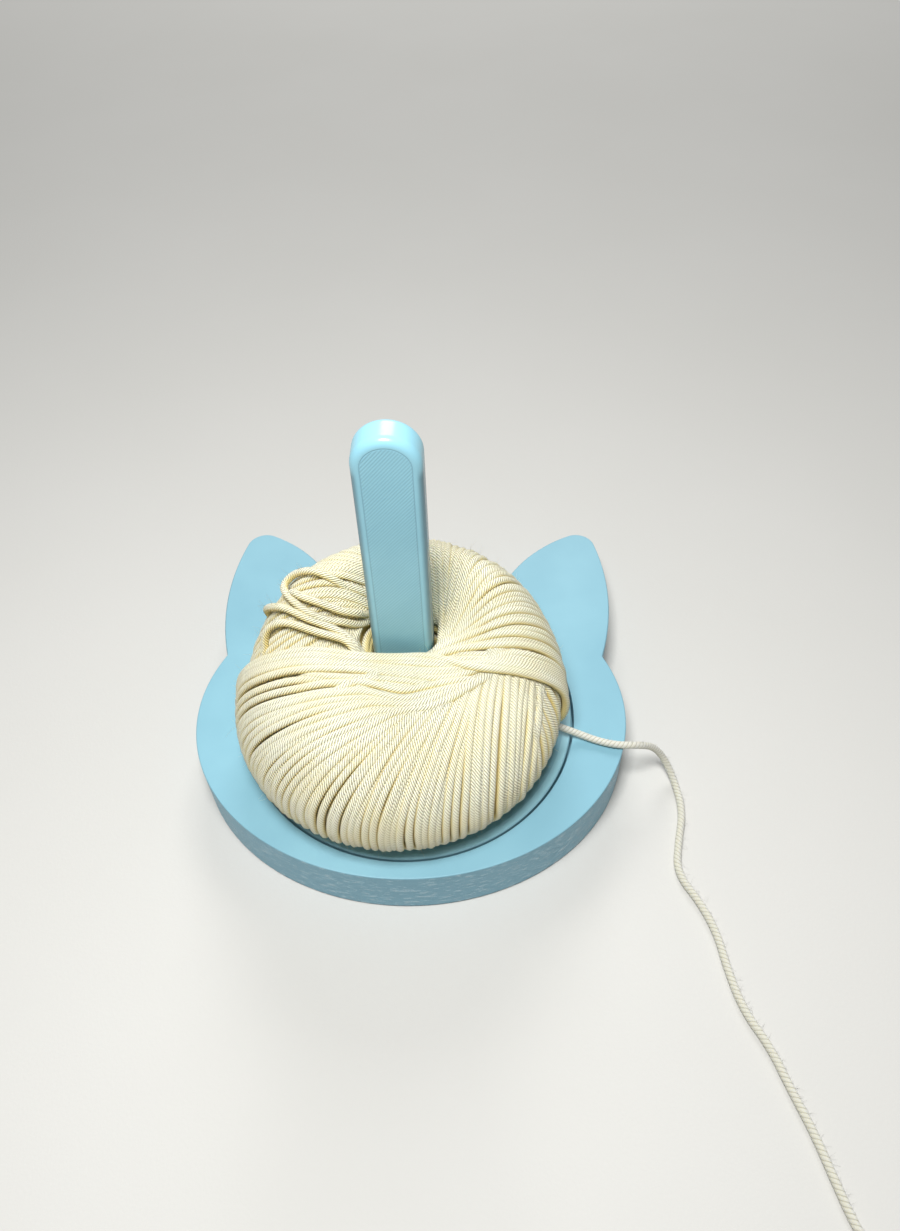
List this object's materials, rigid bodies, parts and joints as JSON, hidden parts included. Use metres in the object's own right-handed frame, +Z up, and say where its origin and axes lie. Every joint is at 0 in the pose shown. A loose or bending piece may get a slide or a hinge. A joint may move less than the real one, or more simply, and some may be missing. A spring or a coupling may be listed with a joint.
{
  "type": "rotating yarn ball holder",
  "caption": "Low slab base with two rounded ears and a flush turntable on a bearing; a flat upright spindle holds a ball of yarn, which turns as its end is pulled.",
  "frame": {"origin": "middle of the object's footprint, on the surface that the rubber feet stand on; the spin axis is 12.12 mm in front of it", "axes": "+Z up along the spindle, -Y to the front, +Y towards the ears, +X to the right of someone facing the front"},
  "size_m": [0.2041, 0.248, 0.1462],
  "materials": {
    "base_plastic": "matt light blue printed plastic",
    "turntable_plastic": "satin light blue printed plastic",
    "spindle_plastic": "satin light blue printed plastic",
    "screw_steel": "zinc plated",
    "washer_steel": "zinc plated",
    "bearing_steel": "ground bearing steel",
    "shield_steel": "pressed steel",
    "cage_steel": "pressed steel",
    "ball_steel": "polished",
    "pad_rubber": "matt black",
    "yarn": "cream plied yarn"
  },
  "bodies": {
    "base": {"base": "base_plastic", "bearing_outer_ring": "bearing_steel", "bearing_shield_lower": "shield_steel", "bearing_shield_upper": "shield_steel", "foot_pad_front_left": "pad_rubber", "foot_pad_front_right": "pad_rubber", "foot_pad_rear_left": "pad_rubber", "foot_pad_rear_right": "pad_rubber"},
    "turntable": {"turntable_plate": "turntable_plastic", "spindle_post": "spindle_plastic", "spindle_screw": "screw_steel", "retaining_washer": "washer_steel", "bearing_inner_ring": "bearing_steel"},
    "bearing_cage": {"bearing_cage_upper": "cage_steel", "bearing_cage_lower": "cage_steel", "bearing_ball_1": "ball_steel", "bearing_ball_2": "ball_steel", "bearing_ball_3": "ball_steel", "bearing_ball_4": "ball_steel", "bearing_ball_5": "ball_steel", "bearing_ball_6": "ball_steel", "bearing_ball_7": "ball_steel"},
    "yarn_end": {"yarn_tail": "yarn"},
    "yarn_ball": {"yarn_ball": "yarn"}
  },
  "joints": [
    {"name": "turntable_spin", "type": "hinge", "parent": "base", "child": "turntable", "pos_m": [0, -0.01212, 0.0205], "axis": [0, 0, 1], "continuous": true},
    {"name": "bearing_cage_spin", "type": "hinge", "parent": "base", "child": "bearing_cage", "pos_m": [0, -0.01212, 0.01], "axis": [0, 0, 1], "continuous": true},
    {"name": "ball_lift", "type": "slide", "parent": "base", "child": "yarn_end", "axis": [0, 0, 1], "range_m": [0, 0.13]},
    {"name": "ball_spin", "type": "hinge", "parent": "yarn_end", "child": "yarn_ball", "pos_m": [0, -0.01212, 0.0205], "axis": [0, 0, 1], "continuous": true}
  ],
  "couplings": [
    {"joint": "bearing_cage_spin", "follows": "turntable_spin", "ratio": 0.3677},
    {"joint": "ball_spin", "follows": "turntable_spin", "ratio": 1}
  ]
}
